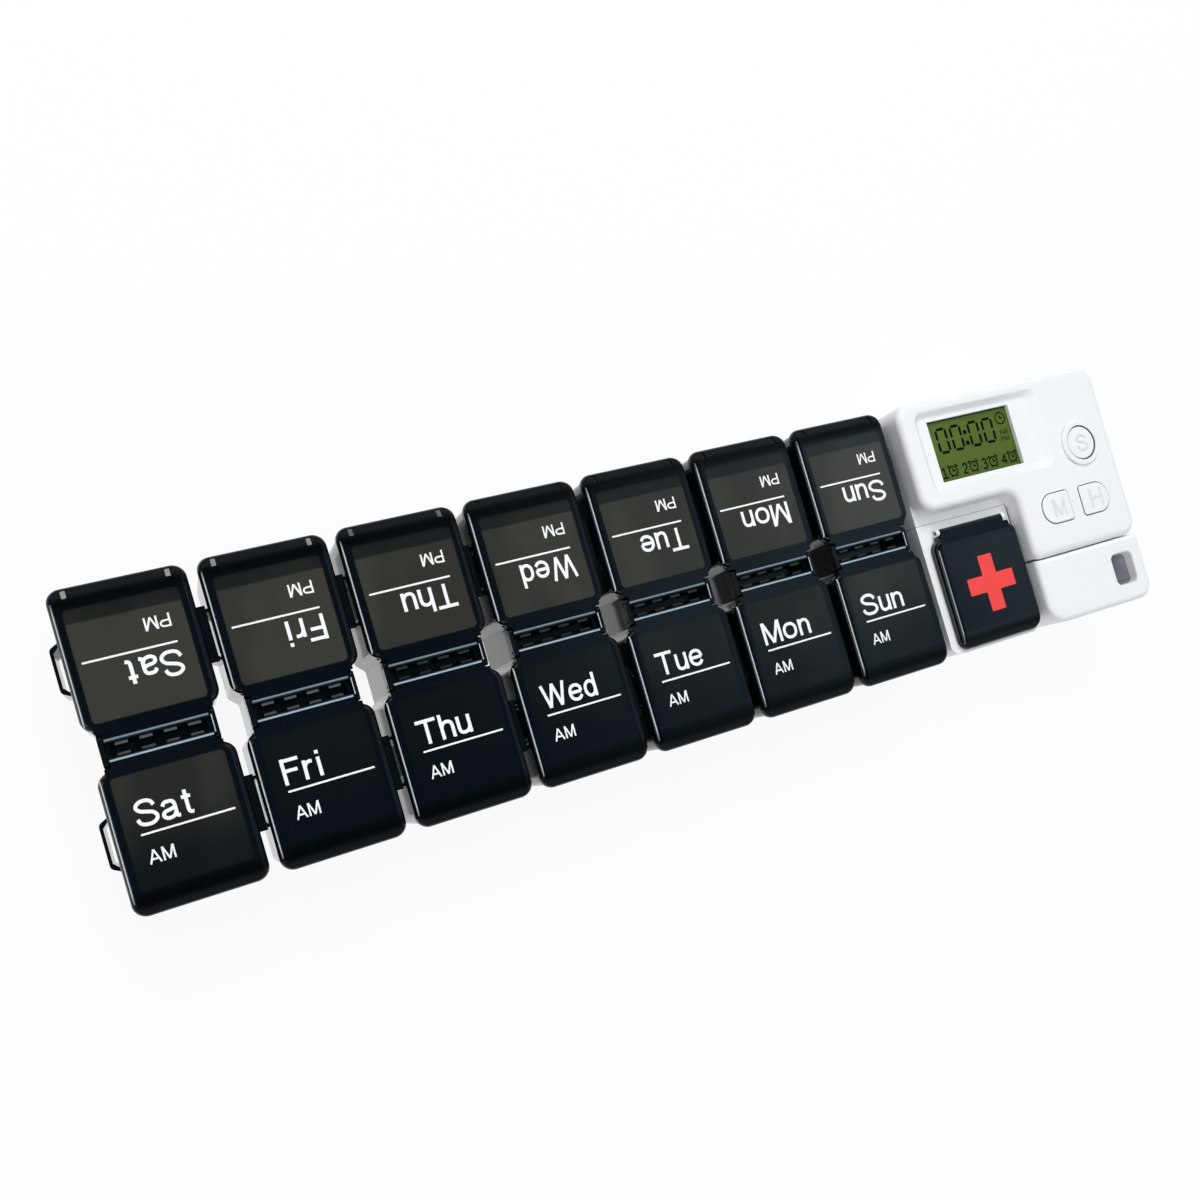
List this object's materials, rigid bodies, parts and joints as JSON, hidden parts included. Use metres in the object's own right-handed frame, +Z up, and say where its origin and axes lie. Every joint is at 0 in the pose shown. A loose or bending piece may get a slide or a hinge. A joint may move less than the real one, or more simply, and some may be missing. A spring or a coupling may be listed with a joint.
{
  "type": "smart pill organizer",
  "caption": "Row of hook-on day pods, each with a morning and an evening lid, ending in a white alarm timer with a display, buttons, a first aid box and a key ring slot.",
  "frame": {"origin": "middle of the object's bounding box, on the surface it stands on", "axes": "+X along the row from the first day pod towards the timer, +Y from the morning lids towards the evening lids, +Z up"},
  "size_m": [0.2814, 0.0694, 0.0287],
  "materials": {
    "pod_plastic": "black polypropylene, glossy, slightly blue",
    "lid_plastic": "black polypropylene, glossy, slightly blue, printed in white or red",
    "timer_plastic": "white ABS with a fine satin texture",
    "button_plastic": "white ABS, satin, with a raised letter",
    "display_glass": "olive green reflective liquid crystal display",
    "keypad_rubber": "grey silicone rubber",
    "board_laminate": "green glass-fibre laminate",
    "buzzer_plastic": "black moulded can",
    "cell_can": "plain dry cell can",
    "spring_steel": "nickel-plated steel"
  },
  "bodies": {
    "module": {"timer_rear_case": "timer_plastic", "timer_front_cover": "timer_plastic", "keyring_cap": "timer_plastic", "first_aid_box": "timer_plastic", "lcd_panel": "display_glass", "zebra_strip": "keypad_rubber", "circuit_board": "board_laminate", "keypad_sheet": "keypad_rubber", "buzzer": "buzzer_plastic", "battery_cell_1": "cell_can", "battery_cell_2": "cell_can", "battery_contacts": "spring_steel", "case_screws": "spring_steel"},
    "pod_sun": {"day_box_sun": "pod_plastic", "hinge_bridge_sun": "pod_plastic"},
    "pod_mon": {"day_box_mon": "pod_plastic", "hinge_bridge_mon": "pod_plastic"},
    "pod_tue": {"day_box_tue": "pod_plastic", "hinge_bridge_tue": "pod_plastic"},
    "pod_wed": {"day_box_wed": "pod_plastic", "hinge_bridge_wed": "pod_plastic"},
    "pod_thu": {"day_box_thu": "pod_plastic", "hinge_bridge_thu": "pod_plastic"},
    "pod_fri": {"day_box_fri": "pod_plastic", "hinge_bridge_fri": "pod_plastic"},
    "pod_sat": {"day_box_sat": "pod_plastic", "hinge_bridge_sat": "pod_plastic"},
    "am_cover_sat": {"lid_am_sat": "lid_plastic"},
    "pm_cover_sat": {"lid_pm_sat": "lid_plastic"},
    "am_cover_fri": {"lid_am_fri": "lid_plastic"},
    "pm_cover_fri": {"lid_pm_fri": "lid_plastic"},
    "am_cover_thu": {"lid_am_thu": "lid_plastic"},
    "pm_cover_thu": {"lid_pm_thu": "lid_plastic"},
    "am_cover_wed": {"lid_am_wed": "lid_plastic"},
    "pm_cover_wed": {"lid_pm_wed": "lid_plastic"},
    "am_cover_tue": {"lid_am_tue": "lid_plastic"},
    "pm_cover_tue": {"lid_pm_tue": "lid_plastic"},
    "am_cover_mon": {"lid_am_mon": "lid_plastic"},
    "pm_cover_mon": {"lid_pm_mon": "lid_plastic"},
    "am_cover_sun": {"lid_am_sun": "lid_plastic"},
    "pm_cover_sun": {"lid_pm_sun": "lid_plastic"},
    "first_aid_cover": {"first_aid_lid": "lid_plastic"},
    "set_key": {"button_set": "button_plastic"},
    "minute_key": {"button_minute": "button_plastic"},
    "hour_key": {"button_hour": "button_plastic"},
    "door": {"battery_door": "timer_plastic"}
  },
  "joints": [
    {"name": "sun_lift", "type": "slide", "parent": "module", "child": "pod_sun", "axis": [0, 0, 1], "range_m": [0, 0.0095]},
    {"name": "mon_lift", "type": "slide", "parent": "pod_sun", "child": "pod_mon", "axis": [0, 0, 1], "range_m": [0, 0.0095]},
    {"name": "tue_lift", "type": "slide", "parent": "pod_mon", "child": "pod_tue", "axis": [0, 0, 1], "range_m": [0, 0.0095]},
    {"name": "wed_lift", "type": "slide", "parent": "pod_tue", "child": "pod_wed", "axis": [0, 0, 1], "range_m": [0, 0.0095]},
    {"name": "thu_lift", "type": "slide", "parent": "pod_wed", "child": "pod_thu", "axis": [0, 0, 1], "range_m": [0, 0.0095]},
    {"name": "fri_lift", "type": "slide", "parent": "pod_thu", "child": "pod_fri", "axis": [0, 0, 1], "range_m": [0, 0.0095]},
    {"name": "sat_lift", "type": "slide", "parent": "pod_fri", "child": "pod_sat", "axis": [0, 0, 1], "range_m": [0, 0.0095]},
    {"name": "sat_am_hinge", "type": "hinge", "parent": "pod_sat", "child": "am_cover_sat", "pos_m": [-0.1248, -0.0023, 0.0231], "axis": [-1, 0, 0], "range_deg": [0, 90]},
    {"name": "sat_pm_hinge", "type": "hinge", "parent": "pod_sat", "child": "pm_cover_sat", "pos_m": [-0.1248, 0.0023, 0.0231], "axis": [1, 0, 0], "range_deg": [0, 90]},
    {"name": "fri_am_hinge", "type": "hinge", "parent": "pod_fri", "child": "am_cover_fri", "pos_m": [-0.0948, -0.0023, 0.0231], "axis": [-1, 0, 0], "range_deg": [0, 90]},
    {"name": "fri_pm_hinge", "type": "hinge", "parent": "pod_fri", "child": "pm_cover_fri", "pos_m": [-0.0948, 0.0023, 0.0231], "axis": [1, 0, 0], "range_deg": [0, 90]},
    {"name": "thu_am_hinge", "type": "hinge", "parent": "pod_thu", "child": "am_cover_thu", "pos_m": [-0.0648, -0.0023, 0.0231], "axis": [-1, 0, 0], "range_deg": [0, 90]},
    {"name": "thu_pm_hinge", "type": "hinge", "parent": "pod_thu", "child": "pm_cover_thu", "pos_m": [-0.0648, 0.0023, 0.0231], "axis": [1, 0, 0], "range_deg": [0, 90]},
    {"name": "wed_am_hinge", "type": "hinge", "parent": "pod_wed", "child": "am_cover_wed", "pos_m": [-0.0348, -0.0023, 0.0231], "axis": [-1, 0, 0], "range_deg": [0, 90]},
    {"name": "wed_pm_hinge", "type": "hinge", "parent": "pod_wed", "child": "pm_cover_wed", "pos_m": [-0.0348, 0.0023, 0.0231], "axis": [1, 0, 0], "range_deg": [0, 90]},
    {"name": "tue_am_hinge", "type": "hinge", "parent": "pod_tue", "child": "am_cover_tue", "pos_m": [-0.0048, -0.0023, 0.0231], "axis": [-1, 0, 0], "range_deg": [0, 90]},
    {"name": "tue_pm_hinge", "type": "hinge", "parent": "pod_tue", "child": "pm_cover_tue", "pos_m": [-0.0048, 0.0023, 0.0231], "axis": [1, 0, 0], "range_deg": [0, 90]},
    {"name": "mon_am_hinge", "type": "hinge", "parent": "pod_mon", "child": "am_cover_mon", "pos_m": [0.0252, -0.0023, 0.0231], "axis": [-1, 0, 0], "range_deg": [0, 90]},
    {"name": "mon_pm_hinge", "type": "hinge", "parent": "pod_mon", "child": "pm_cover_mon", "pos_m": [0.0252, 0.0023, 0.0231], "axis": [1, 0, 0], "range_deg": [0, 90]},
    {"name": "sun_am_hinge", "type": "hinge", "parent": "pod_sun", "child": "am_cover_sun", "pos_m": [0.0552, -0.0023, 0.0231], "axis": [-1, 0, 0], "range_deg": [0, 90]},
    {"name": "sun_pm_hinge", "type": "hinge", "parent": "pod_sun", "child": "pm_cover_sun", "pos_m": [0.0552, 0.0023, 0.0231], "axis": [1, 0, 0], "range_deg": [0, 90]},
    {"name": "first_aid_hinge", "type": "hinge", "parent": "module", "child": "first_aid_cover", "pos_m": [0.0882, -0.0008, 0.0231], "axis": [-1, 0, 0], "range_deg": [0, 90]},
    {"name": "set_press", "type": "slide", "parent": "module", "child": "set_key", "axis": [0, 0, -1], "range_m": [0, 0.0006], "stiffness_N_per_m": 400},
    {"name": "minute_press", "type": "slide", "parent": "module", "child": "minute_key", "axis": [0, 0, -1], "range_m": [0, 0.0006], "stiffness_N_per_m": 400},
    {"name": "hour_press", "type": "slide", "parent": "module", "child": "hour_key", "axis": [0, 0, -1], "range_m": [0, 0.0006], "stiffness_N_per_m": 400},
    {"name": "door_slide", "type": "slide", "parent": "module", "child": "door", "axis": [0, 1, 0], "range_m": [0, 0.04]}
  ]
}
